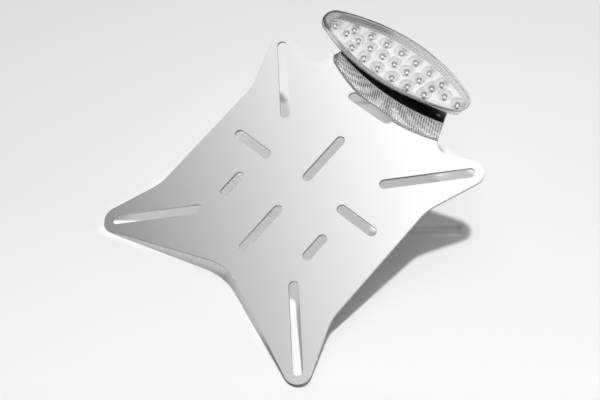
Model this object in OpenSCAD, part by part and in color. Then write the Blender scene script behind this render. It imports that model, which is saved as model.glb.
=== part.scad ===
// Motorbike tail tidy: a folded stainless number plate holder with an almond-shaped LED tail light.
// The sheet stands on its two lower arm tips and on the end of its folded mounting tongue.
// X is the width, +Y runs along the ground towards the light and +Z is up.

/* [Plate] */
// Width and height of the square that the four arm tips reach
plate_size = 177; // [170:1:185]
// Thickness of the sheet
sheet_t = 2; // [1.5:0.1:3]
// Radius of each arm's round tip
tip_r = 8.6; // [7:0.1:10]
// Distance of the waist's straight sides from the sides of the square that the arm tips reach
waist_in = 13.8; // [11:0.1:20]
// Distance of the ends of the waist's straight sides from the arm tips' reach
waist_end_in = 50; // [46:0.5:58]
// Radius of the hollows where the waist meets the arms
waist_hollow_r = 30; // [15:1:32]
// Height of the middle of the lower edge above the lower arm tips' reach
lower_edge_in = 28.1; // [24:0.1:32]
// Radius of the hollow in the middle of the lower edge
lower_hollow_r = 35; // [20:1:50]
// Lean of the plate when it stands
rest_tilt = 16.6; // [12:0.1:22]

/* [Slots] */
// Width of every slot, for M6 screws
slot_w = 6.5; // [6:0.1:7]
// Distance of the arm slots' inner ends from the centre, along X and along Y
arm_slot_in = 42.5; // [40:0.1:50]
// Height of the two cross slots above the centre
cross_slot_y = 13.5; // [12:0.1:18]
// Inner end of the cross slots
cross_slot_x = 32.5; // [28:0.1:34]
// Distance of the cross slots' outer end centres from the waist's straight sides
cross_slot_in = 17.7; // [14:0.1:26]
// Distance of the short upright slots from the middle
side_slot_x = 36; // [32:0.1:44]
// Upper end of the short upright slots, below the centre
side_slot_y = 9; // [7:0.1:12]
// Length between the end centres of the short upright slots
side_slot_l = 13.5; // [8:0.1:18]
// Lower end of the upper middle slot, above the centre
upper_slot_y = 17.5; // [14:0.1:24]
// Upper end of the lower middle slot, below the centre
lower_slot_y = 11.2; // [9:0.1:16]
// Length between the end centres of the upper middle slot
upper_slot_l = 31.5; // [20:0.1:36]
// Distance of the lower middle slot's lower end centre from the lower edge
lower_slot_in = 17.7; // [12:0.1:26]
// Distance of the slot next to the light below the upper arm tips' reach
light_slot_in = 10.1; // [8:0.1:14]
// Length between the end centres of the slot next to the light
light_slot_l = 28.6; // [16:0.1:40]

/* [Neck and tongue] */
// Distance at which the neck starts to bend above the upper arm tips' reach
neck_rise = 9.5; // [8:0.5:13]
// Distance of the neck's sides from the arm tips' reach, where it starts to bend
neck_in = 44.1; // [43:0.1:46]
// Lean of the neck's edges, which narrow towards the tongue
neck_taper = 22; // [18:0.5:24]
// Depth of the hollow between the neck and an arm below the arm tips' reach
shoulder_in = 7.6; // [6:0.1:10]
// Radius of the hollow between the neck and an arm
shoulder_r = 10; // [8:0.5:12]
// Outer radius of the shallow bend below the light
neck_bend_r = 20; // [14:1:24]
// Angle of the shallow bend, which gives the light its lean
neck_bend_a = 11.1; // [8:0.1:13]
// Length of the flat on which the light stands
neck_flat_l = 17; // [15:0.5:19]
// Outer radius of the sharp bend behind the light
tongue_bend_r = 6; // [5:0.5:8]
// Half width of the tongue
tongue_half_w = 21.5; // [19:0.5:24]
// Radius of the tongue's lower corners
tongue_corner_r = 6; // [3:0.5:8]
// Distance between the tongue's hole centres, across and up
tongue_hole_gap = 26; // [18:1:28]
// Height of the middle of the tongue's holes above the ground
tongue_hole_z = 24; // [20:0.5:28]
// Diameter of the tongue's holes, for M6 bolts
tongue_hole_d = 6.5; // [5:0.1:7]

/* [Light] */
// Half length of the light at its rim
lens_half_l = 58.6; // [58.5:0.1:60]
// Half height of the light at its rim
lens_half_h = 19.1; // [18.9:0.1:20]
// Radius of the light's two tips at its rim
lens_tip_r = 9.1; // [8.8:0.1:10]
// Depth of the ribbed body behind the rim
lens_depth = 12.3; // [12.1:0.1:13]
// Half length of the ribbed body at its back
back_half_l = 52.5; // [52.3:0.1:54]
// Half height of the ribbed body at its back
back_half_h = 10.9; // [10.7:0.1:11.5]
// Radius of the ribbed body's tips at its back
back_tip_r = 4; // [3.8:0.1:5]
// Rise of the body's back above the middle of the rim
back_rise = 1.5; // [1.2:0.1:1.8]
// Thickness of the clear walls
lens_wall = 1.4; // [1.2:0.1:1.5]
// Number of ribs round the body
rib_count = 150; // [90:1:180]
// Depth of the ribs
rib_depth = 0.35; // [0.2:0.05:0.5]
// Height of the plain band at the rim
plain_band = 1.5; // [1:0.1:2.5]
// Height of the front's rounded edge
front_edge_h = 3.6; // [2.8:0.1:4.5]
// Width of the front's rounded edge
front_edge_w = 2.6; // [2:0.1:3.5]
// Height of the front's dome beyond its rounded edge
front_crown = 1; // [0.5:0.1:2]
// Distance of the middle of the rim from the corner of the shallow bend
light_offset = 2.1; // [1.5:0.1:3]
// Thickness of the seal between the base and the body
seal_t = 0.8; // [0.6:0.1:1]
// Thickness of the base's back wall
base_t = 3.5; // [3:0.1:3.6]
// Height by which the base's back wall stands out behind the body
base_step = 1; // [0.6:0.1:1.2]
// Height of the base's foot
foot_h = 7.8; // [7:0.1:9]
// Half length of the base's foot
foot_half_l = 30; // [27:0.5:31]
// Width of the base's foot
foot_w = 11; // [10.6:0.1:11.4]
// Thickness of the rubber pad under the foot
pad_t = 1.5; // [1:0.1:2.5]

/* [Reflector and LEDs] */
// Diameter of an LED's clear body
led_d = 4.8; // [4:0.1:4.8]
// Height of an LED from its seat to its tip
led_h = 4.4; // [4:0.1:4.6]
// Depth of the LED tips behind the rim
led_tip_depth = 2.6; // [2.4:0.1:2.7]
// Number of LEDs in the middle row, the upper row and the lower row
row_count = [11, 7, 6];
// Clearance between the middle row's end LEDs and the body's wall
end_led_gap = 0.58; // [0.5:0.02:2]
// Distance between the LEDs of the outer rows, as a share of the middle row's
outer_share = 1.182; // [1.15:0.002:1.19]
// Sideways shift of the upper row
upper_shift = -2.5; // [-3:0.1:-2]
// Height of the middle row above the middle of the rim
middle_row_v = 0.5; // [0.4:0.1:0.8]
// Clearance between the upper row's LEDs and the body's wall
upper_row_gap = 1; // [0.8:0.1:1.3]
// Clearance between the lower row's LEDs and the body's wall
lower_row_gap = 0.5; // [0.4:0.1:0.6]
// Depth of the reflector tray
reflector_h = 3.5; // [3.2:0.1:3.8]
// Thickness of the tray's rim
tray_rim_t = 1; // [0.8:0.1:1.2]
// Radius of each reflector cup at its mouth
cup_mouth_r = 4.8; // [4.2:0.1:4.9]
// Thickness of the circuit board
board_t = 1.2; // [1:0.1:1.4]

/* [Fixings] */
// Distance between the two mounting studs
stud_gap = 40; // [36:0.5:44]
// Diameter of the mounting studs
stud_d = 5; // [4:0.1:5.2]
// Width of a stud's nut across its flats
nut_w = 8; // [7.5:0.1:8.5]
// Height of a stud's nut
nut_h = 4; // [3:0.1:5]
// Diameter of a stud's washer
washer_d = 10; // [9.5:0.1:11]
// Thickness of a stud's washer
washer_t = 1; // [0.8:0.1:1.5]
// Bore of the cable grommet
cable_d = 5; // [4:0.1:5.4]
// Thickness of the grommet's wall
grommet_wall = 1.8; // [1.5:0.1:2]

/* [Hidden] */
$fn = 48;
// Clearance between hard pieces that fit into each other
fit_gap = 0.1;
// Clearance of a screw or a stud in its hole
hole_gap = 0.25;
// Clearance between the lens and what stands inside it
inner_gap = 0.4;
// Overlap that takes a cut past the faces it leaves open
over = 1;
// Points round the lens's smooth surfaces
smooth_points = 72;
// Angle between the steps of a bend
bend_step = 3;
// Share of a smooth ring's points that lie on the tips
tip_points = 0.4;
// Steps in the front's rounded edge
edge_steps = 4;
// Faces of the large circles that bound the light's outlines
wide_fn = 240;
// Depth by which a line crosses a round that it meets smoothly
tuck = 0.003;
// Distance of the light's foot from the shallow bend
foot_edge = 1.1;

// Standing plate
half = plate_size / 2;
waist_half_w = half - waist_in;
waist_half_l = half - waist_end_in;
lower_edge_y = half - lower_edge_in;
light_slot_y = half - light_slot_in;
shoulder_y = half - shoulder_in;
neck_half_w = half - neck_in;
neck_bend_y = half + neck_rise;
cross_slot_end = waist_half_w - cross_slot_in;
rest_z = half * sin(rest_tilt) + sheet_t * cos(rest_tilt);
flat_start = neck_bend_r * tan(neck_bend_a / 2);
flat_end = flat_start + neck_flat_l;
bend_corner_y = neck_bend_y + flat_start;
tongue_bend_mid = neck_point(flat_end, -tongue_bend_r);
tongue_bend_in = tongue_bend_r - sheet_t;
tongue_top_z = ground_z(tongue_bend_mid);
tongue_cut_z = tongue_top_z + tongue_bend_in;
back_y = ground_y(tongue_bend_mid) + tongue_bend_r;
middle_y = (back_y + ground_y([-half, 0])) / 2;

// Heights above the neck's upper face
foot_z = pad_t;
foot_top_z = foot_z + foot_h;
lens_z = foot_top_z + fit_gap;
rim_z = lens_z + lens_depth;
base_z = foot_top_z - base_step;
base_top_z = base_z + base_t;
foot_y = flat_start + foot_edge + foot_w / 2;

// Depths behind the rim
led_seat_depth = led_tip_depth + led_h;
board_depth = led_seat_depth + board_t;
tray_depth = led_seat_depth - reflector_h;

// Distances between the LEDs
seat_oval = lens_oval(led_seat_depth, lens_wall);
middle_gap = 2 * (seat_oval[0] - led_d / 2 - end_led_gap) / (row_count[0] - 1);
outer_gap = outer_share * middle_gap;

// Small parts
flange_r = led_d / 2 + 0.15;
flange_h = 0.8;
lead_r = 0.3;
lead_gap = 2.54;
lead_tail = 0.5;
boss_r = 2.2;
screw_r = 0.8;
screw_head_r = 1.6;
screw_head_h = 1.1;
screw_bite = 1.8;
stud_head_r = 4;
stud_head_h = 1.8;
stud_head_z = 3;
stud_tail = 1.5;
grommet_r = cable_d / 2 + grommet_wall;
grommet_lip = 2;
grommet_lip_h = 1.5;
grommet_inset = 2;
chip = [3.2, 1.6, 0.6];
chip_count = 8;
chip_gap = 9;
chip_v = -3.6;

// The screws and the bosses stand between LEDs of the middle row
screw_u = 3.5 * middle_gap;
boss_u = [-screw_u, -1.5 * middle_gap, 1.5 * middle_gap, screw_u];

led_count = row_count[0] + row_count[1] + row_count[2];
led_places = [
    for (i = [0:row_count[0] - 1]) [spread(i, row_count[0], middle_gap), middle_row_v],
    for (i = [0:row_count[1] - 1])
        wall_row(spread(i, row_count[1], outer_gap) + upper_shift, 1, upper_row_gap),
    for (i = [0:row_count[2] - 1]) wall_row(spread(i, row_count[2], outer_gap), -1, lower_row_gap)
];

// Name of one LED's node
function led_name(i) = str("led_", i < 10 ? "0" : "", i);

// Place of a point of the neck's side view, which leans by the shallow bend
function neck_point(y, z) = [
    bend_corner_y + y * cos(neck_bend_a) + z * sin(neck_bend_a),
    z * cos(neck_bend_a) - y * sin(neck_bend_a)
];

// Side view of the sheet's upper face, or of a face this far below it, carried on below the ground
function sheet_path(depth) =
    concat(
        [[-half - over, -depth]],
        bend_path([neck_bend_y, -neck_bend_r], neck_bend_r - depth, 0, neck_bend_a),
        bend_path(tongue_bend_mid, tongue_bend_r - depth, neck_bend_a, 90 + rest_tilt),
        [tongue_bend_mid + (tongue_bend_r - depth) * [cos(rest_tilt), -sin(rest_tilt)]
            - (tongue_top_z + over) * [sin(rest_tilt), cos(rest_tilt)]]
    );

// Side view of one bend
function bend_path(mid, r, from, to) =
    let (steps = ceil((to - from) / bend_step))
    [for (i = [0:steps])
        let (t = from + (to - from) * i / steps)
        mid + r * [sin(t), cos(t)]];

// Place over the ground of a point of the plate's side view
function ground_y(p) = p[0] * cos(rest_tilt) - p[1] * sin(rest_tilt);
function ground_z(p) = p[0] * sin(rest_tilt) + p[1] * cos(rest_tilt) + rest_z;

// Half width of the neck at a height on the plate
function neck_w(y) = neck_half_w - (y - neck_bend_y) * tan(neck_taper);

// An outline's circles are [x, y, r]: r is positive left of the line, negative right of it and 0 at a point.
// Direction of the straight edge that touches two of them
function heading(a, b) =
    let (d = norm([b[0] - a[0], b[1] - a[1]]))
    atan2(b[1] - a[1], b[0] - a[0]) - asin((b[2] - a[2]) / d);

// Point of a circle at which the outline has a direction
function touch(c, t) = [c[0] + c[2] * sin(t), c[1] - c[2] * cos(t)];

// The same circle with its rim drawn in a little, so that a straight edge crosses it instead of grazing it
function drawn_in(c) = [c[0], c[1], c[2] - sign(c[2]) * tuck];

// Ends of the straight edges in the right half of an outline, from its lowest point on the centre line
function edge_ends(circles) =
    [for (i = [0:len(circles) - 2])
        let (a = drawn_in(circles[i]), b = drawn_in(circles[i + 1]), t = heading(a, b))
        each [touch(a, t), touch(b, t)]];

// The light is an oval of two wide arcs and two tips: [half length, half height, tip radius, rise of its middle]
function lens_oval(depth, inset = 0) =
    let (rim = [lens_half_l, lens_half_h, lens_tip_r, 0],
        back = [back_half_l, back_half_h, back_tip_r, back_rise])
    rim + (back - rim) * depth / lens_depth - inset * [1, 1, 1, 0];

// Radius of an oval's wide arcs
function wide_r(o) = ((o[0] - o[2]) ^ 2 + o[1] ^ 2 - o[2] ^ 2) / (2 * (o[1] - o[2]));

// Angle at which the wide arc passes into the tip
function join_a(o) = atan2(wide_r(o) - o[1], o[0] - o[2]);

// Share of an oval's girth that lies on its tips
function tip_share(o) =
    let (tip = o[2] * join_a(o))
    tip / (tip + wide_r(o) * (90 - join_a(o)));

// Point of an oval at a share of its way round, with this share of the way on its tips, moved out by a distance
function oval_point(o, share, tips, out) =
    let (quarter = floor(4 * share),
        part = 4 * share - quarter,
        way = quarter % 2 == 0 ? part : 1 - part,
        on_tip = way < tips,
        a = join_a(o),
        angle = on_tip ? a * way / tips : a + (90 - a) * (way - tips) / (1 - tips),
        r = (on_tip ? o[2] : wide_r(o)) + out,
        x = r * cos(angle) + (on_tip ? o[0] - o[2] : 0),
        y = r * sin(angle) - (on_tip ? 0 : wide_r(o) - o[1]))
    [quarter == 1 || quarter == 2 ? -x : x, (quarter > 1 ? -y : y) + o[3]];

// Ring of a loft, shrunk about its middle
function smooth_ring(o, z, shrink = 1) =
    [for (i = [0:smooth_points - 1])
        let (p = oval_point(o, i / smooth_points, tip_points, 0))
        [p[0] * shrink, o[3] + (p[1] - o[3]) * shrink, z]];

// Ring of the body at a depth, with this share of its points on the tips and every second point sunk
function body_ring(o, depth, tips, sunk = 0) =
    [for (i = [0:2 * rib_count - 1])
        let (p = oval_point(o, i / (2 * rib_count), tips, i % 2 == 0 ? 0 : -sunk))
        [p[0], p[1], -depth]];

// Ring of the body's outer face, with evenly spaced ribs
function rib_ring(depth, sunk = 0) = body_ring(lens_oval(depth), depth, tip_share(lens_oval(depth)), sunk);

// Ring of the body's inner face
function inner_ring(depth) = body_ring(lens_oval(depth, lens_wall), depth, tip_share(lens_oval(0)));

// Rings of the front, this far inside its outer face
function front_rings(inside) =
    let (w = front_edge_w - inside / 2, h = front_edge_h - inside, dome = [0.8, 0.5, 0.2])
    concat(
        [for (i = [0:edge_steps])
            let (t = 90 * i / edge_steps)
            smooth_ring(lens_oval(0, inside + w * (1 - cos(t))), h * sin(t))],
        [for (k = dome) smooth_ring(lens_oval(0, inside + w), h + front_crown * (1 - k ^ 2), k)]
    );

// Place of copy i of a row that is centred on the middle
function spread(i, count, gap) = (i - (count - 1) / 2) * gap;

// Place of an LED of an outer row, which follows the body's wall at the LEDs' seats
function wall_row(u, side, gap) =
    let (o = seat_oval)
    [u, o[3] + side * (sqrt(wide_r(o) ^ 2 - u ^ 2) - wide_r(o) + o[1] - led_d / 2 - gap)];

// The plate's own frame, in which its upper face is the plane z = 0
module on_plate() {
    translate([0, -middle_y, rest_z])
        rotate([rest_tilt, 0, 0])
            children();
}

// The neck's frame, in which the face that carries the light is the plane z = 0
module on_neck() {
    on_plate()
        translate([0, bend_corner_y, 0])
            rotate([-neck_bend_a, 0, 0])
                children();
}

// The light's frame, in which the lens's rim is the plane z = 0
module in_light() {
    on_neck()
        translate([0, light_offset, rim_z])
            children();
}

// Slot between two end centres
module slot(from, to, w) {
    d = to - from;
    translate(from)
        rotate(atan2(d[1], d[0])) {
            translate([0, -w / 2])
                square([norm(d), w]);
            circle(d = w);
            translate([norm(d), 0])
                circle(d = w);
        }
}

// Flat oval outline
module oval(o) {
    wide = wide_r(o);
    join_x = o[0] - o[2] + o[2] * cos(join_a(o));
    translate([0, o[3]]) {
        intersection() {
            translate([0, o[1] - wide])
                circle(wide, $fn = wide_fn);
            translate([0, wide - o[1]])
                circle(wide, $fn = wide_fn);
            square([2 * join_x, 2 * o[1] + over], center = true);
        }
        for (side = [-1, 1])
            translate([side * (o[0] - o[2]), 0])
                circle(o[2] + tuck);
    }
}

// Outline that is the same on both sides, from the circles of its right half
module outline(circles) {
    ends = edge_ends(circles);
    difference() {
        union() {
            polygon(concat(ends, [for (i = [len(ends) - 1:-1:0]) [-ends[i][0], ends[i][1]]]));
            for (c = circles)
                if (c[2] > 0)
                    for (side = [-1, 1])
                        translate([side * c[0], c[1]])
                            circle(c[2]);
        }
        for (c = circles)
            if (c[2] < 0)
                for (side = c[0] == 0 ? [1] : [-1, 1])
                    translate([side * c[0], c[1]])
                        circle(-c[2]);
    }
}

// Closed solid through a stack of rings
module loft(rings) {
    n = len(rings[0]);
    top = len(rings) - 1;
    walls = [
        for (k = [0:top - 1], i = [0:n - 1])
            let (j = (i + 1) % n, low = k * n, high = low + n)
            each [[low + i, high + i, high + j], [low + i, high + j, low + j]]
    ];
    polyhedron([for (r = rings) each r],
        concat([[for (i = [0:n - 1]) i]], walls, [[for (i = [n - 1:-1:0]) top * n + i]]));
}

// Closed solid round an opening, through rings that run up its outside and down its inside
module sleeve(rings) {
    n = len(rings[0]);
    count = len(rings);
    polyhedron([for (r = rings) each r],
        [for (k = [0:count - 1], i = [0:n - 1])
            let (j = (i + 1) % n, low = k * n, high = (k + 1) % count * n)
            each [[low + i, high + i, high + j], [low + i, high + j, low + j]]]);
}

// Side view of the folded sheet
module sheet_section() {
    lower = sheet_path(sheet_t);
    polygon(concat(sheet_path(0), [for (i = [len(lower) - 1:-1:0]) lower[i]]));
}

// Star-shaped outline of the plate with its neck
module plate_outline() {
    arm = half - tip_r;
    shoulder_mid_y = shoulder_y + shoulder_r;
    neck_top_y = bend_corner_y + flat_end + 2 * tongue_bend_r;
    outline([
        [0, -lower_edge_y - lower_hollow_r, -lower_hollow_r],
        [arm, -arm, tip_r],
        [waist_half_w + waist_hollow_r, -waist_half_l, -waist_hollow_r],
        [waist_half_w + waist_hollow_r, waist_half_l, -waist_hollow_r],
        [arm, arm, tip_r],
        [neck_w(shoulder_mid_y) + shoulder_r / cos(neck_taper), shoulder_mid_y, -shoulder_r],
        [neck_w(neck_top_y), neck_top_y, 0]
    ]);
}

// Slots for the number plate's screws
module plate_slots() {
    arm = half - tip_r;
    slot([0, upper_slot_y], [0, upper_slot_y + upper_slot_l], slot_w);
    slot([0, -lower_slot_y], [0, lower_slot_in - lower_edge_y], slot_w);
    slot([-light_slot_l / 2, light_slot_y], [light_slot_l / 2, light_slot_y], slot_w);
    for (side = [-1, 1]) {
        for (end = [-1, 1])
            slot([side * arm_slot_in, end * arm_slot_in], [side * arm, end * arm], slot_w);
        slot([side * cross_slot_x, cross_slot_y], [side * cross_slot_end, cross_slot_y], slot_w);
        slot([side * side_slot_x, -side_slot_y], [side * side_slot_x, -side_slot_y - side_slot_l], slot_w);
    }
}

// Front view of the tongue, from the ground up to the inside of the sharp bend
module tongue_outline() {
    top_w = neck_w(tongue_bend_mid[0] + tongue_bend_in * sin(rest_tilt));
    taper_z = tongue_cut_z - (top_w - tongue_half_w) / tan(neck_taper);
    outline([
        [0, 0, 0],
        [tongue_half_w - tongue_corner_r, tongue_corner_r, tongue_corner_r],
        [tongue_half_w, taper_z, 0],
        [top_w, tongue_cut_z, 0]
    ]);
}

// What is cut away beside and below the tongue, and its four holes
module tongue_cuts() {
    below = 2 * over + sheet_t;
    translate([0, back_y - middle_y + over, 0])
        rotate([90, 0, 0])
            linear_extrude(tongue_bend_r + over) {
                difference() {
                    translate([-half, -below])
                        square([plate_size, tongue_cut_z + below]);
                    tongue_outline();
                }
                for (x = [-1, 1], z = [-1, 1])
                    translate([x * tongue_hole_gap / 2, tongue_hole_z + z * tongue_hole_gap / 2])
                        circle(d = tongue_hole_d);
            }
}

// Folded sheet that carries the number plate and the light
module plate_holder() {
    color("gainsboro")
        difference() {
            on_plate()
                intersection() {
                    rotate([90, 0, 90])
                        linear_extrude(plate_size + 2 * over, center = true)
                            sheet_section();
                    translate([0, 0, -tongue_top_z - half])
                        linear_extrude(tongue_top_z + 2 * half)
                            difference() {
                                plate_outline();
                                plate_slots();
                            }
                }
            tongue_cuts();
            on_neck()
                translate([0, foot_y, -sheet_t - over]) {
                    stud_places()
                        cylinder(d = stud_d + 2 * hole_gap, h = sheet_t + 2 * over);
                    cylinder(r = grommet_r + fit_gap, h = sheet_t + 2 * over);
                }
        }
}

// The two places of the mounting studs
module stud_places() {
    for (side = [-1, 1])
        translate([side * stud_gap / 2, 0, 0])
            children();
}

// Outline of the light's foot
module foot_outline() {
    reach = foot_half_l - foot_w / 2;
    slot([-reach, 0], [reach, 0], foot_w);
}

// Black back of the light, with its foot and the board's bosses
module light_base() {
    color([0.06, 0.06, 0.065])
        on_neck()
            difference() {
                union() {
                    translate([0, light_offset, base_z])
                        linear_extrude(base_t)
                            oval(lens_oval(lens_depth, lens_wall + seal_t + 2 * fit_gap));
                    translate([0, foot_y, foot_z])
                        linear_extrude(foot_h)
                            foot_outline();
                    for (u = boss_u)
                        translate([u, light_offset + middle_row_v, base_z])
                            cylinder(r = boss_r, h = rim_z - board_depth - base_z);
                }
                translate([0, foot_y, 0]) {
                    stud_places() {
                        translate([0, 0, foot_z - over])
                            cylinder(d = stud_d + 2 * fit_gap, h = stud_head_z + over);
                        translate([0, 0, foot_z + stud_head_z - fit_gap])
                            cylinder(r = stud_head_r + fit_gap, h = stud_head_h + 2 * fit_gap);
                    }
                    translate([0, 0, foot_z - over])
                        cylinder(r = grommet_r + fit_gap, h = over + grommet_inset);
                    translate([0, 0, foot_z])
                        cylinder(d = cable_d, h = rim_z);
                }
                screw_places() {
                    translate([0, 0, base_z - over])
                        cylinder(r = screw_r + hole_gap, h = rim_z);
                    translate([0, 0, base_z - over])
                        cylinder(r = screw_head_r + hole_gap, h = over + screw_head_h + fit_gap);
                }
            }
}

// The two places of the reflector's screws, on the neck
module screw_places() {
    for (side = [-1, 1])
        translate([side * screw_u, light_offset + middle_row_v, 0])
            children();
}

// Seal between the base's edge and the ribbed body
module lens_seal() {
    color("dimgray")
        in_light()
            translate([0, 0, -lens_depth])
                linear_extrude(base_top_z - lens_z)
                    difference() {
                        oval(lens_oval(lens_depth, lens_wall + fit_gap));
                        oval(lens_oval(lens_depth, lens_wall + fit_gap + seal_t));
                    }
}

// Clear ribbed body, which narrows to its back
module lens_body() {
    color([0.9, 0.92, 0.93, 0.45])
        in_light()
            sleeve([
                rib_ring(lens_depth, rib_depth),
                rib_ring(plain_band + rib_depth, rib_depth),
                rib_ring(plain_band),
                rib_ring(0),
                inner_ring(0),
                inner_ring(lens_depth)
            ]);
}

// Clear domed front, joined to the body at the rim
module lens_front() {
    color([0.9, 0.92, 0.93, 0.45])
        in_light()
            difference() {
                loft(front_rings(0));
                loft(concat([smooth_ring(lens_oval(0, lens_wall), -over)], front_rings(lens_wall)));
            }
}

// Chromed tray with a cup round each LED
module reflector() {
    seat = flange_h + fit_gap;
    color("silver")
        in_light()
            translate([0, 0, -led_seat_depth])
                difference() {
                    union() {
                        linear_extrude(reflector_h)
                            oval(lens_oval(led_seat_depth, lens_wall + inner_gap));
                        translate([0, 0, reflector_h - tray_rim_t])
                            linear_extrude(tray_rim_t)
                                oval(lens_oval(tray_depth + tray_rim_t, lens_wall + inner_gap));
                    }
                    for (p = led_places)
                        translate([p[0], p[1], 0]) {
                            translate([0, 0, -over])
                                cylinder(r = flange_r + fit_gap, h = over + seat);
                            translate([0, 0, seat])
                                cylinder(r1 = flange_r + fit_gap, r2 = cup_mouth_r, h = reflector_h - seat);
                            translate([0, 0, reflector_h])
                                cylinder(r = cup_mouth_r, h = over);
                        }
                    for (side = [-1, 1])
                        translate([side * screw_u, middle_row_v, -over])
                            cylinder(r = screw_r, h = over + screw_bite);
                }
}

// One clear LED with its seat flange and two leads
module led(i) {
    p = led_places[i - 1];
    r = led_d / 2;
    color([0.92, 0.94, 0.95, 0.8])
        in_light()
            translate([p[0], p[1], -led_seat_depth]) {
                cylinder(r = flange_r, h = flange_h);
                cylinder(r = r, h = led_h - r);
                translate([0, 0, led_h - r])
                    intersection() {
                        sphere(r);
                        translate([0, 0, (r - led_h) / 2])
                            cylinder(r = led_d, h = led_h);
                    }
                for (side = [-1, 1])
                    translate([side * lead_gap / 2, 0, -board_t - lead_tail])
                        cylinder(r = lead_r, h = board_t + lead_tail + flange_h / 2, $fn = 16);
            }
}

// Board that the LEDs are soldered to
module circuit_board() {
    color([0.88, 0.89, 0.88])
        in_light()
            difference() {
                translate([0, 0, -board_depth])
                    linear_extrude(board_t)
                        oval(lens_oval(board_depth, lens_wall + fit_gap));
                for (p = led_places, side = [-1, 1])
                    translate([p[0] + side * lead_gap / 2, p[1], -board_depth - over])
                        cylinder(r = lead_r + fit_gap, h = board_t + 2 * over, $fn = 16);
                for (side = [-1, 1])
                    translate([side * screw_u, middle_row_v, -board_depth - over])
                        cylinder(r = screw_r + hole_gap, h = board_t + 2 * over);
            }
}

// Chip resistors under the board, one for each string of three LEDs
module resistors() {
    color([0.1, 0.1, 0.1])
        in_light()
            for (i = [0:chip_count - 1])
                translate([spread(i, chip_count, chip_gap), chip_v, -board_depth - chip[2] / 2])
                    cube(chip, center = true);
}

// Screws that clamp the base, the board and the reflector
module reflector_screws() {
    top_z = rim_z - led_seat_depth + screw_bite;
    color("silver")
        on_neck()
            screw_places()
                translate([0, 0, base_z]) {
                    cylinder(r = screw_r, h = top_z - base_z);
                    cylinder(r = screw_head_r, h = screw_head_h);
                }
}

// Rubber pad between the foot and the sheet
module base_pad() {
    color([0.12, 0.12, 0.12])
        on_neck()
            translate([0, foot_y, 0])
                difference() {
                    linear_extrude(pad_t)
                        foot_outline();
                    stud_places()
                        translate([0, 0, -over])
                            cylinder(d = stud_d + 2 * hole_gap, h = pad_t + 2 * over);
                    translate([0, 0, -over])
                        cylinder(r = grommet_r + fit_gap, h = pad_t + 2 * over);
                }
}

// Studs moulded into the foot, which hold the light on the neck
module mounting_studs() {
    below = sheet_t + washer_t + nut_h + stud_tail;
    color("silver")
        on_neck()
            translate([0, foot_y, 0])
                stud_places() {
                    translate([0, 0, -below])
                        cylinder(d = stud_d, h = below + foot_z + stud_head_z + stud_head_h / 2);
                    translate([0, 0, foot_z + stud_head_z])
                        cylinder(r = stud_head_r, h = stud_head_h);
                }
}

// Washers under the neck
module stud_washers() {
    color("silver")
        on_neck()
            translate([0, foot_y, -sheet_t - washer_t])
                stud_places()
                    difference() {
                        cylinder(d = washer_d, h = washer_t);
                        translate([0, 0, -over])
                            cylinder(d = stud_d + 2 * hole_gap, h = washer_t + 2 * over);
                    }
}

// Nuts under the washers
module stud_nuts() {
    color("silver")
        on_neck()
            translate([0, foot_y, -sheet_t - washer_t - nut_h])
                stud_places()
                    difference() {
                        cylinder(r = nut_w / 2 / cos(30), h = nut_h, $fn = 6);
                        translate([0, 0, -over])
                            cylinder(d = stud_d + fit_gap, h = nut_h + 2 * over);
                    }
}

// Bush through the sheet and the pad into the foot, for the light's cable
module cable_grommet() {
    below = sheet_t + grommet_lip_h;
    color([0.12, 0.12, 0.12])
        on_neck()
            translate([0, foot_y, -below])
                difference() {
                    union() {
                        cylinder(r = grommet_r + grommet_lip, h = grommet_lip_h);
                        cylinder(r = grommet_r, h = below + foot_z + grommet_inset);
                    }
                    translate([0, 0, -over])
                        cylinder(d = cable_d, h = below + rim_z);
                }
}

plate_holder();
light_base();
lens_seal();
lens_body();
lens_front();
reflector();
circuit_board();
resistors();
reflector_screws();
base_pad();
mounting_studs();
stud_washers();
stud_nuts();
cable_grommet();
for (i = [1:led_count])
    led(i);
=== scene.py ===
import bpy
import numpy as np
from mathutils import Matrix


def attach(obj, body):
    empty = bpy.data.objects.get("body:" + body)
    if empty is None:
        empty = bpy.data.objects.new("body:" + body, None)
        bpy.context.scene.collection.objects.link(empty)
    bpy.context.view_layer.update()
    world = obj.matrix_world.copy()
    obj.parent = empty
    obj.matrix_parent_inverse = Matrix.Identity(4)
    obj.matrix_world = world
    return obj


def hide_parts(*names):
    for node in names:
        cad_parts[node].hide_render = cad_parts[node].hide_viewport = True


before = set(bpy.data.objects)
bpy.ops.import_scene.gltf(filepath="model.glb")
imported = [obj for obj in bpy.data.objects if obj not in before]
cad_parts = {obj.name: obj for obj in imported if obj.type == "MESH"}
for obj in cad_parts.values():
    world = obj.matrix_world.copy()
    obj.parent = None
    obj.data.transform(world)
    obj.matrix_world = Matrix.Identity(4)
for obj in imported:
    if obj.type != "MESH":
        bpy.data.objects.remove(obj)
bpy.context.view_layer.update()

MM = 0.001
TURN = 2 * np.pi

# Standing sheet and its neck, as in the part's source
REST_TILT = np.radians(16.6)
NECK_BEND = np.radians(11.1)
REST_Z = 27.20006567
MIDDLE_Y = 18.19886332
BEND_CORNER_Y = 99.94341
LIGHT_OFFSET = 2.1
RIM_Z = 21.7

# Clear shell of the light
RIM_OVAL = np.array([58.6, 19.1, 9.1, 0.0])
BACK_OVAL = np.array([52.5, 10.9, 4.0, 1.5])
SHELL_DEPTH = 12.3
SHELL_WALL = 1.4
RIBS = 150
FLUTE_DEPTH = 0.75
PLAIN_BAND = 1.5
EDGE_HEIGHT = 3.6
EDGE_WIDTH = 2.6
CROWN = 1.0

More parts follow.
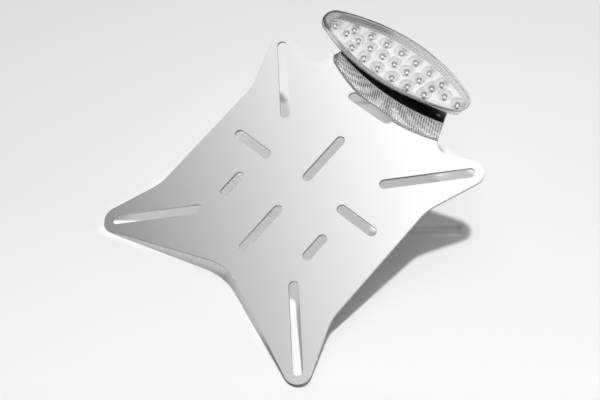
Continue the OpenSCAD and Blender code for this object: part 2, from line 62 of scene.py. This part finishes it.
# Lamps of the light
SEAT_DEPTH = 7.0
LED_RADIUS = 2.4
MIDDLE_GAP = 10.1497
MIDDLE_ROW_V = 0.5
OUTER_GAP = 11.9969
UPPER_SHIFT = -2.5
UPPER_ROW_GAP = 1.0
LOWER_ROW_GAP = 0.5


# ---- places and ovals ----

def in_light(u, v, w):
    """Points of the standing frame, in metres, from the light's frame in millimetres.

    u runs across, v up the neck and w outwards from the rim. The point is turned back by the neck's bend,
    moved to the bend's corner, turned up by the sheet's lean and moved to its place over the ground."""
    u, v, w = np.broadcast_arrays(np.asarray(u, float), v, w)
    y, z = v + LIGHT_OFFSET, w + RIM_Z
    y, z = (y * np.cos(NECK_BEND) + z * np.sin(NECK_BEND) + BEND_CORNER_Y,
            z * np.cos(NECK_BEND) - y * np.sin(NECK_BEND))
    y, z = (y * np.cos(REST_TILT) - z * np.sin(REST_TILT) - MIDDLE_Y,
            y * np.sin(REST_TILT) + z * np.cos(REST_TILT) + REST_Z)
    return np.stack([u, y, z], axis=-1) * MM


def oval_at(depth, inset=0.0):
    """Half length, half height, tip radius and rise of the light's oval: a straight line from rim to back."""
    return RIM_OVAL + (BACK_OVAL - RIM_OVAL) * depth / SHELL_DEPTH - inset * np.array([1, 1, 1, 0])


def wide_radius(oval):
    """Radius of the two wide arcs, which touch the tips' circles: ((a - r)^2 + h^2 - r^2) / (2 (h - r))."""
    a, h, r = oval[:3]
    return ((a - r) ** 2 + h ** 2 - r ** 2) / (2 * (h - r))


def oval_ring(oval, share, tips, outwards=0.0):
    """Points of a four-arc oval: the tip's circle to the joining angle, then the wide arc, in all quarters.

    share is the way round from 0 to 1 and tips the part of each quarter that lies on the tip's circle."""
    a, h, r, rise = oval
    wide = wide_radius(oval)
    join = np.arctan2(wide - h, a - r)
    quarter = np.floor(4 * share).astype(int) % 4
    part = 4 * share - np.floor(4 * share)
    way = np.where(quarter % 2 == 0, part, 1 - part)
    on_tip = way < tips
    angle = np.where(on_tip, join * way / tips, join + (TURN / 4 - join) * (way - tips) / (1 - tips))
    radius = np.where(on_tip, r, wide) + outwards
    x = radius * np.cos(angle) + np.where(on_tip, a - r, 0)
    y = radius * np.sin(angle) - np.where(on_tip, 0, wide - h)
    return np.where((quarter == 1) | (quarter == 2), -x, x), np.where(quarter > 1, -y, y) + rise


def tip_part(oval):
    """Part of an oval's girth that lies on its tips."""
    a, h, r = oval[:3]
    wide = wide_radius(oval)
    join = np.arctan2(wide - h, a - r)
    return r * join / (r * join + wide * (TURN / 4 - join))


def led_places():
    """Centres of the 24 lamps: a straight middle row and two rows that follow the shell's wall."""
    spread = lambda count, gap: (np.arange(count) - (count - 1) / 2) * gap
    oval = oval_at(SEAT_DEPTH, SHELL_WALL)
    wide = wide_radius(oval)
    along = lambda u: np.sqrt(wide ** 2 - u ** 2) - wide + oval[1] - LED_RADIUS
    upper, lower = spread(7, OUTER_GAP) + UPPER_SHIFT, spread(6, OUTER_GAP)
    middle = spread(11, MIDDLE_GAP)
    return np.concatenate([
        np.stack([middle, np.full(11, MIDDLE_ROW_V)], 1),
        np.stack([upper, oval[3] + along(upper) - UPPER_ROW_GAP], 1),
        np.stack([lower, oval[3] - along(lower) + LOWER_ROW_GAP], 1),
    ])


# ---- meshes ----

def piece(name, points, faces, finish, smooth=True):
    """A new mesh piece of the object, which rides on its one body and takes the finish it is given."""
    mesh = bpy.data.meshes.new(name)
    mesh.from_pydata(points.reshape(-1, 3).tolist(), [], faces)
    mesh.validate()
    mesh.polygons.foreach_set("use_smooth", np.full(len(mesh.polygons), smooth))
    mesh.materials.append(finish)
    obj = bpy.data.objects.new(name, mesh)
    bpy.context.scene.collection.objects.link(obj)
    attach(obj, "root")
    return obj


def band_faces(rows, columns, start=0):
    """Quads between neighbouring rings of a grid whose columns close on themselves."""
    low = np.arange(rows - 1)[:, None] * columns + start
    here, after = np.arange(columns), (np.arange(columns) + 1) % columns
    return np.stack([low + here, low + after, low + columns + after, low + columns + here], -1).reshape(-1, 4)


def turned(profile, sides):
    """A closed solid of revolution about w: (radius, height) pairs carried round the axis, capped at both ends."""
    angle = np.arange(sides) * TURN / sides
    r, h = np.asarray(profile, float).T
    points = np.stack([r[:, None] * np.cos(angle), r[:, None] * np.sin(angle), np.repeat(h[:, None], sides, 1)], -1)
    faces = band_faces(len(r), sides).tolist()
    faces += [list(range(sides))[::-1], list(range((len(r) - 1) * sides, len(r) * sides))]
    return points.reshape(-1, 3), faces


def shell_rings(inside, ribs):
    """Rings of one skin of the clear shell, from its back over the rim and the rounded edge to the dome's pole.

    The wall's ovals shrink in a straight line with depth, the edge is a quarter of an ellipse and the dome is
    h + crown (1 - k^2) at scale k. Flutes of depth |cos| run down the wall and fade out below the plain band."""
    count = RIBS * 6
    share = np.arange(count) / count
    edge_w, edge_h = EDGE_WIDTH - inside / 2, EDGE_HEIGHT - inside
    rings = []
    for depth in np.concatenate([np.linspace(SHELL_DEPTH, PLAIN_BAND + 0.6, 6), [PLAIN_BAND + 0.3, PLAIN_BAND, 0.6]]):
        fade = np.clip((depth - PLAIN_BAND) / 0.6, 0, 1) * ribs
        sunk = FLUTE_DEPTH * fade * (1 - np.abs(np.cos(np.pi * RIBS * share)))
        u, v = oval_ring(oval_at(depth, inside), share, tip_part(oval_at(depth)), -sunk)
        rings.append(in_light(u, v, -depth))
    oval_tips = tip_part(oval_at(0))
    for t in np.linspace(0, TURN / 4, 9):
        u, v = oval_ring(oval_at(0, inside + edge_w * (1 - np.cos(t))), share, oval_tips)
        rings.append(in_light(u, v, edge_h * np.sin(t)))
    u, v = oval_ring(oval_at(0, inside + edge_w), share, oval_tips)
    for k in [0.97, 0.93, 0.86, 0.76, 0.64, 0.5, 0.36, 0.22, 0.1, 0.02]:
        rings.append(in_light(u * k, v * k, edge_h + CROWN * (1 - k ** 2)))
    return np.array(rings)


def make_shell(finish):
    """The one clear shell: an outer and an inner skin of rings, closed at their poles and joined round the back."""
    outer, inner = shell_rings(0.0, 1.0), shell_rings(SHELL_WALL, 0.0)
    rows, columns = outer.shape[:2]
    skin = band_faces(rows, columns)
    inner_skin = band_faces(rows, columns, rows * columns)[:, ::-1]
    here = np.arange(columns)
    after = (here + 1) % columns
    back = np.stack([here, here + rows * columns, after + rows * columns, after], -1)
    pole = (rows - 1) * columns + here
    caps = [pole.tolist(), (pole + rows * columns)[::-1].tolist()]
    faces = skin.tolist() + inner_skin.tolist() + back.tolist() + caps
    points = np.concatenate([outer.reshape(-1, 3), inner.reshape(-1, 3)])
    shell = piece("clear_shell", points, faces, finish)
    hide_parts("lens_body", "lens_front")
    return shell


def make_lamp_insides(metal, die):
    """The metal cup and its pale die inside each lamp: turned profiles set at the lamps' centres."""
    cup = [(0.5, 0.05), (0.5, 1.2), (1.45, 2.1), (1.5, 2.3), (1.3, 2.28), (0.62, 1.5), (0.02, 1.48)]
    chip = [(0.5, 1.45), (0.55, 1.5), (0.55, 1.72), (0.5, 1.76), (0.02, 1.78)]
    for name, profile, look, slot in (("lamp_cups", cup, metal, "zinc_steel"), ("lamp_dies", chip, die, "led_clear")):
        local, quads = turned(profile, 18)
        places = led_places()
        points = [in_light(local[:, 0] + u, local[:, 1] + v, local[:, 2] - SEAT_DEPTH) for u, v in places]
        faces = [[k * len(local) + i for i in quad] for k in range(len(places)) for quad in quads]
        piece(name, np.concatenate(points), faces, look)


# ---- materials ----

class Number:
    """A number that a socket carries, with the arithmetic of shader maths. Each sum adds its Math node."""

    def __init__(self, nodes, socket):
        self.nodes, self.socket = nodes, socket

    def math(self, operation, *values, clamp=False):
        """The result of one Math operation on this number and others."""
        node = self.nodes.add("ShaderNodeMath", {"operation": operation, "use_clamp": clamp}, dict(enumerate(values)))
        return self.nodes.number(node, 0)

    def __add__(self, other): return self.math("ADD", self, other)
    def __radd__(self, other): return self.math("ADD", other, self)
    def __sub__(self, other): return self.math("SUBTRACT", self, other)
    def __rsub__(self, other): return self.math("SUBTRACT", other, self)
    def __mul__(self, other): return self.math("MULTIPLY", self, other)
    def __rmul__(self, other): return self.math("MULTIPLY", other, self)
    def __truediv__(self, other): return self.math("DIVIDE", self, other)
    def __rtruediv__(self, other): return self.math("DIVIDE", other, self)
    def __pow__(self, other): return self.math("POWER", self, other)
    def __neg__(self): return self.math("MULTIPLY", self, -1.0)
    def clamped(self): return self.math("ADD", self, 0.0, clamp=True)
    def wave(self): return self.math("SINE", self * TURN)
    def size(self): return self.math("ABSOLUTE", self)

    def between(self, low, high, start=0.0, end=1.0, kind="SMOOTHSTEP"):
        """This number mapped from low..high to start..end and held there."""
        node = self.nodes.add("ShaderNodeMapRange", {"interpolation_type": kind, "clamp": True},
                              {"Value": self, "From Min": low, "From Max": high, "To Min": start, "To Max": end})
        return self.nodes.number(node, "Result")


class Nodes:
    """A node tree, with one method that adds any node."""

    def __init__(self, tree):
        self.tree = tree
        tree.nodes.clear()

    def add(self, kind, settings=None, inputs=None):
        """A node of a kind, its settings first, then the values or links of its sockets."""
        node = self.tree.nodes.new(kind)
        for name, value in (settings or {}).items():
            if name == "stops":
                for spot, colour in value[2:]:
                    node.color_ramp.elements.new(spot)
                for element, (spot, colour) in zip(node.color_ramp.elements, sorted(value)):
                    element.position, element.color = spot, (*colour, 1.0)
            else:
                setattr(node, name, value)
        for name, value in (inputs or {}).items():
            if isinstance(value, Number):
                value = value.socket
            if isinstance(value, bpy.types.NodeSocket):
                self.tree.links.new(value, node.inputs[name])
            else:
                node.inputs[name].default_value = value
        return node

    def number(self, node, output):
        """One output of a node as a number."""
        return Number(self, node.outputs[output])

    def place(self, scale=(1, 1, 1), turn=(0, 0, 0), move=(0, 0, 0)):
        """Object coordinates, stretched, turned and moved."""
        where = self.add("ShaderNodeTexCoord").outputs["Object"]
        return self.add("ShaderNodeMapping", None,
                        {"Vector": where, "Scale": scale, "Rotation": turn, "Location": move}).outputs["Vector"]

    def axis(self, vector, direction):
        """How far a vector reaches along a direction."""
        dot = self.add("ShaderNodeVectorMath", {"operation": "DOT_PRODUCT"}, {0: vector, 1: direction})
        return self.number(dot, "Value")

    def noise(self, where, scale, detail=2.0, rough=0.5):
        """Cloudy noise from 0 to 1 at a number of cells a metre."""
        return self.number(self.add("ShaderNodeTexNoise", None,
                                    {"Vector": where, "Scale": scale, "Detail": detail, "Roughness": rough}), "Fac")

    def tint(self, amount, dark, light):
        """A colour between two others."""
        node = self.add("ShaderNodeMix", {"data_type": "RGBA"}, {0: amount, 6: (*dark, 1.0), 7: (*light, 1.0)})
        return node.outputs[2]

    def bump(self, height, strength, distance):
        """A normal from a height."""
        return self.add("ShaderNodeBump", None,
                        {"Height": height, "Strength": strength, "Distance": distance}).outputs["Normal"]


def finish(name, build):
    """A material whose surface build(nodes) gives as the inputs of one Principled shader."""
    material = bpy.data.materials.new(name)
    material.use_nodes = True
    nodes = Nodes(material.node_tree)
    surface = nodes.add("ShaderNodeBsdfPrincipled", None, build(nodes))
    nodes.add("ShaderNodeOutputMaterial", None, {"Surface": surface.outputs[0]})
    return material


def polished_sheet(n):
    """Polished stainless: nearly a mirror, with a very fine grain, faint wipe marks and duller cut edges."""
    grain = n.noise(n.place((1600, 24, 24), (-REST_TILT, 0, 0)), 1.0, 3.0)
    wipe = n.noise(n.place(), 22.0, 4.0, 0.6)
    normal = n.add("ShaderNodeNewGeometry").outputs["True Normal"]
    facing = n.axis(normal, (0, -float(np.sin(REST_TILT)), float(np.cos(REST_TILT))))
    edge = 1 - (facing * facing).between(0.2, 0.5)
    polish = n.tint(wipe, (0.875, 0.88, 0.885), (0.9, 0.902, 0.905))
    face_tone = n.add("ShaderNodeMix", {"data_type": "RGBA"}, {0: edge, 6: polish, 7: (0.42, 0.42, 0.42, 1.0)})
    return {"Base Color": face_tone.outputs[2], "Metallic": 1.0,
            "Roughness": 0.03 + grain * 0.03 + wipe * 0.02 + edge * 0.35,
            "Normal": n.bump(grain, 0.02, 0.0001)}


def passing(n, share):
    """Cover of a clear piece: whole to the eye, but a share of the light on what is behind passes straight on."""
    path = n.add("ShaderNodeLightPath")
    return 1 - (n.number(path, "Is Shadow Ray") + n.number(path, "Is Diffuse Ray")).clamped() * share


def light_axes(n, where):
    """How far a place lies across the light, up the neck and out of its rim, in metres."""
    lean = REST_TILT - NECK_BEND
    up, out = np.array([0, np.cos(lean), np.sin(lean)]), np.array([0, -np.sin(lean), np.cos(lean)])
    origin = in_light(0, 0, 0)
    return (n.axis(where, (1, 0, 0)), n.axis(where, up) - float(origin @ up),
            n.axis(where, out) - float(origin @ out))


def clear_plastic(n):
    """Clear moulded plastic with a flow ripple: painted shade on the far wall, darker towards the left, painted black
    on the left tip and a thin line along the far rim, and a faint painted glow on the half-silvered flutes of the
    near wall.
    """
    where = n.place()
    ripple, spots = n.noise(where, 90.0, 1.0), n.noise(where, 700.0, 2.0)
    u, v, w = light_axes(n, where)
    # Painted shade: the far wall and the left tip are tinted darker, most of all towards the left end.
    far = v.between(-0.002, 0.003) + (1 - u.between(-0.056, -0.048))
    wall = far.clamped() * (1 - w.between(-0.0008, 0.0008))
    shade = u.between(-0.05, 0.0, 0.1, 0.62, "LINEAR") + u.between(0.0, 0.05, 0.0, 0.24, "LINEAR")
    face = n.add("ShaderNodeNewGeometry")
    outside = 1 - n.axis(face.outputs["True Normal"], (0, 1, 0)).between(-0.15, 0.15)
    outside = outside * (1 - n.number(face, "Backfacing"))
    near = (1 - v.between(-0.003, 0.002)) * (1 - w.between(-0.0025, -0.0015)) * outside
    flutes = (u / 0.0018).wave().between(-0.35, 0.25) * near
    # Painted shade: the left tip and a thin line along the far rim on the left are made nearly black, where only
    # shade shows through.
    tip = (1 - u.between(-0.053, -0.047)) * v.between(-0.008, -0.003)
    line = (1 - u.between(-0.03, -0.01)) * v.between(0.0, 0.004) * w.between(-0.0032, -0.0024)
    black = (tip * (1 - w.between(0.0016, 0.003)) + line * (1 - w.between(-0.0002, 0.0012))).clamped()
    tone = (1 - wall + wall * shade) * (1 - black * 0.98) * 0.975
    tint = n.add("ShaderNodeCombineColor", None, {0: tone, 1: tone, 2: tone})
    # Painted highlight: the near wall's flute stripes glow faintly with an emission, on top of their half silvering.
    spark = flutes * 0.26
    light = n.add("ShaderNodeCombineColor", None, {0: spark, 1: spark, 2: spark})
    return {"Base Color": tint.outputs[0], "Metallic": black * 0.9 + flutes,
            "Emission Color": light.outputs[0], "Emission Strength": 1.0,
            "Roughness": 0.012 + spots.between(0.62, 0.75) * 0.05 + flutes * 0.9 + black * 0.4,
            "IOR": 1.49, "Transmission Weight": 0.92, "Normal": n.bump(ripple, 0.05, 0.0004),
            "Alpha": passing(n, 0.85)}


def lamp_resin(n):
    """Clear cast resin of the lamps, a little hazy in fine patches."""
    haze = n.noise(n.place(), 900.0, 2.0)
    return {"Base Color": n.tint(haze, (0.93, 0.94, 0.95), (0.98, 0.985, 0.99)), "Roughness": 0.02 + haze * 0.04,
            "IOR": 1.42, "Transmission Weight": 1.0, "Alpha": passing(n, 0.8)}


def tray_silver(n):
    """Satin silver tray: pale and half glossy, with the soft ripple of the moulding below it. Its flat face is
    painted darker than its deep cups: painted shade on the lit face and painted light in the shaded cups.
    """
    where = n.place()
    ripple = n.noise(where, 260.0, 2.0)
    # Painted light and shade: the tone drops by 0.22 on the face above the cups' depth.
    tone = 0.88 + ripple * 0.08 - light_axes(n, where)[2].between(-0.0041, -0.0036) * 0.22
    silver = n.add("ShaderNodeCombineColor", None, {0: tone, 1: tone, 2: tone})
    return {"Base Color": silver.outputs[0], "Metallic": 0.35,
            "Roughness": 0.16 + ripple * 0.1, "Normal": n.bump(ripple, 0.25, 0.0004)}


def black_moulding(n):
    """Black moulded plastic with a fine spark-worn texture."""
    grain = n.noise(n.place(), 2600.0, 3.0, 0.6)
    shade = n.noise(n.place(), 60.0, 2.0)
    return {"Base Color": n.tint(shade, (0.008, 0.008, 0.009), (0.016, 0.016, 0.017)),
            "Roughness": 0.32 + grain * 0.16, "Normal": n.bump(grain, 0.15, 0.00008)}


def black_rubber(n):
    """Dull black rubber with a soft bloom."""
    bloom = n.noise(n.place(), 140.0, 4.0, 0.6)
    grain = n.noise(n.place(), 3000.0, 2.0)
    return {"Base Color": n.tint(bloom, (0.012, 0.012, 0.012), (0.035, 0.034, 0.033)),
            "Roughness": 0.6 + bloom * 0.25, "Normal": n.bump(grain, 0.3, 0.0001)}


def board_lacquer(n):
    """White solder lacquer over glass cloth."""
    weave = n.noise(n.place((1, 1, 1)), 1800.0, 1.0)
    patch = n.noise(n.place(), 120.0, 2.0)
    return {"Base Color": n.tint(patch, (0.78, 0.79, 0.78), (0.86, 0.87, 0.86)),
            "Roughness": 0.28 + weave * 0.15, "Normal": n.bump(weave, 0.2, 0.00005)}


def chip_glaze(n):
    """Dark glaze of the chip resistors with tinned ends."""
    patch = n.noise(n.place(), 1500.0, 2.0)
    return {"Base Color": n.tint(patch, (0.012, 0.012, 0.014), (0.05, 0.05, 0.055)), "Roughness": 0.25 + patch * 0.3}


def zinc_plate(n):
    """Bright zinc plating with a faint cloudy passivation and turning marks."""
    cloud = n.noise(n.place(), 240.0, 3.0, 0.6)
    marks = n.noise(n.place((400, 400, 3000)), 1.0, 2.0)
    return {"Base Color": n.tint(cloud, (0.6, 0.61, 0.63), (0.76, 0.765, 0.77)), "Metallic": 1.0,
            "Roughness": 0.24 + cloud * 0.16, "Normal": n.bump(marks, 0.08, 0.0001)}


def cup_metal(n):
    """Dull dark metal of the lamps' cups: painted shade, for the dark ring seen round each lamp's die."""
    cloud = n.noise(n.place(), 1500.0, 2.0)
    return {"Base Color": n.tint(cloud, (0.16, 0.16, 0.165), (0.26, 0.26, 0.265)), "Metallic": 0.8,
            "Roughness": 0.3 + cloud * 0.15}


def die_gel(n):
    """Pale gel over the lamps' dies."""
    cloud = n.noise(n.place(), 2500.0, 2.0)
    return {"Base Color": n.tint(cloud, (0.84, 0.84, 0.82), (0.92, 0.92, 0.9)), "Roughness": 0.3 + cloud * 0.2}


def studio_floor(n):
    """Pale card, greyer towards the back, with painted light and shadow: an emission raises the shaded middle under
    the sheet, and painted shadow darkens a band and four patches.
    """
    where = n.place()
    away, x, y = n.axis(where, (-0.687, 0.726, 0.0)), n.axis(where, (1, 0, 0)), n.axis(where, (0, 1, 0))
    box = lambda x0, x1, y0, y1: (x.between(x0 - 0.004, x0) * (1 - x.between(x1, x1 + 0.004))
                                  * y.between(y0 - 0.004, y0) * (1 - y.between(y1, y1 + 0.004)))
    fibre = n.noise(where, 60.0, 3.0)
    shade = away.between(-0.128, 0.005, 0.937, 0.83, "LINEAR") + fibre * 0.004
    shade = shade - away.between(0.005, 0.35, 0.0, 0.162, "LINEAR")
    along = n.axis(where, (0.726, 0.687, 0.0))
    # Painted shadow: the band lit through the right arm's slot is darkened.
    painted_shadow_strip = (away.between(-0.024, -0.0212) * (1 - away.between(-0.0174, -0.0142))
             * x.between(0.04, 0.05) * (1 - along.between(0.0965, 0.1007)))
    # Painted shadow: four patches of lit floor seen at the slots' ends are darkened.
    spots = box(-0.06, -0.038, 0.078, 0.102) + box(0.048, 0.064, 0.079, 0.093)
    ends = box(-0.086, -0.0785, 0.004, 0.022) + box(-0.058, -0.044, -0.0115, -0.002)
    shade = shade * (1 - painted_shadow_strip * 0.74) * (1 - spots * 0.38) * (1 - ends * 0.68)
    level = n.add("ShaderNodeCombineColor", None, {0: shade, 1: shade, 2: shade * 0.995})
    # Painted light: the floor in the sheet's shade glows for camera, glossy and transmission rays, though not from
    # below.
    path = n.add("ShaderNodeLightPath")
    seen = n.number(path, "Is Camera Ray") + n.number(path, "Is Glossy Ray") + n.number(path, "Is Transmission Ray")
    middle = (x.between(-0.09, -0.075) * (1 - x.between(0.04, 0.056))
              * (y + x.size() * 0.4).between(-0.078, -0.07) * (1 - y.between(0.09, 0.105)))
    corner = (y - x * 0.9).between(0.119, 0.126)
    below = n.number(n.add("ShaderNodeNewGeometry"), "Backfacing")
    painted_light_lift = middle * 0.27 * seen.clamped() * (1 - corner) * (1 - below)
    glow = n.add("ShaderNodeCombineColor", None, {0: painted_light_lift, 1: painted_light_lift, 2: painted_light_lift})
    return {"Base Color": level.outputs[0], "Roughness": 0.75,
            "Emission Color": glow.outputs[0], "Emission Strength": 1.0}


steel = finish("polished_steel", polished_sheet)
clear = finish("clear_plastic", clear_plastic)
resin = finish("lamp_resin", lamp_resin)
silver = finish("tray_silver", tray_silver)
moulding = finish("black_moulding", black_moulding)
rubber = finish("black_rubber", black_rubber)
board = finish("board_lacquer", board_lacquer)
glaze = finish("chip_glaze", chip_glaze)
zinc = finish("zinc_plate", zinc_plate)
shaded_cup_metal = finish("cup_metal", cup_metal)
die_pale = finish("die_gel", die_gel)

NODE_FINISH = {
    "plate_holder": steel, "light_base": moulding, "lens_seal": rubber, "lens_body": clear, "lens_front": clear,
    "reflector": silver, "circuit_board": board, "resistors": glaze, "reflector_screws": zinc, "base_pad": rubber,
    "mounting_studs": zinc, "stud_washers": zinc, "stud_nuts": zinc, "cable_grommet": rubber,
}
for name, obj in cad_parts.items():
    obj.data.materials.clear()
    obj.data.materials.append(NODE_FINISH.get(name, resin))

make_shell(clear)
make_lamp_insides(shaded_cup_metal, die_pale)


# ---- floor, light and camera ----

floor_mesh = bpy.data.meshes.new("floor")
floor_mesh.from_pydata([(-3, -3, 0), (3, -3, 0), (3, 3, 0), (-3, 3, 0)], [], [(0, 1, 2, 3)])
floor_mesh.materials.append(finish("studio_floor", studio_floor))
floor = bpy.data.objects.new("floor", floor_mesh)
bpy.context.scene.collection.objects.link(floor)

# A dim room with one broad panel overhead, which falls to grey on the left and in front
world = bpy.data.worlds.new("room")
world.use_nodes = True
room = Nodes(world.node_tree)
towards = room.add("ShaderNodeTexCoord").outputs["Generated"]
across = room.axis(towards, (0.643, 0.766, 0.0))
reach_x, reach_y = room.axis(towards, (1, 0, 0)), room.axis(towards, (0, 1, 0))
above = room.axis(towards, (0, 0, 1)).between(0.35, 0.7)
panel = (across.between(-0.54, -0.22, 0.0, 1.0, "LINEAR") * above
         * (1 - reach_x.between(0.12, 0.3)) * (1 - reach_y.between(0.5, 0.7)))
ray = room.add("ShaderNodeLightPath")
seen = room.number(ray, "Is Camera Ray")
level = (0.1 + panel * 1.03) * (1 - seen) + 0.85 * seen
grey = room.add("ShaderNodeCombineColor", None, {0: level, 1: level, 2: level})
backdrop = room.add("ShaderNodeBackground", None, {"Color": grey.outputs[0], "Strength": 1.0})
room.add("ShaderNodeOutputWorld", None, {"Surface": backdrop.outputs[0]})
bpy.context.scene.world = world


def soft_lamp(name, at, aim, size, power):
    """A square area lamp that looks at a point."""
    data = bpy.data.lights.new(name, "AREA")
    data.shape, data.size, data.energy = "SQUARE", size, power
    obj = bpy.data.objects.new(name, data)
    back = (np.array(at) - np.array(aim)) / np.linalg.norm(np.array(at) - np.array(aim))
    right = np.cross((0, 1, 0), back) / np.linalg.norm(np.cross((0, 1, 0), back))
    obj.matrix_world = camera_place(right, np.cross(back, right), back, at)
    bpy.context.scene.collection.objects.link(obj)
    return obj


def camera_place(right, up, back, at):
    """The matrix of a camera or lamp from its three axes and its place."""
    return Matrix([(*row, place) for row, place in zip(np.array([right, up, back]).T.tolist(), at)] + [(0, 0, 0, 1)])


soft_lamp("overhead", (0.0, 0.28, 1.5), (0.06, 0.0, 0.0), 0.11, 15.4)

lens = bpy.data.cameras.new("camera")
lens.sensor_width, lens.lens, lens.sensor_fit = 36.0, 68.416, "HORIZONTAL"
lens.clip_start = 0.01
camera = bpy.data.objects.new("camera", lens)
camera.matrix_world = camera_place((0.726462, 0.687206, 0.000093), (-0.544207, 0.575211, 0.610714),
                                   (0.419633, -0.443711, 0.791851), (0.305984, -0.331894, 0.591843))
bpy.context.scene.collection.objects.link(camera)
bpy.context.scene.camera = camera
bpy.context.scene.view_settings.view_transform = "Standard"
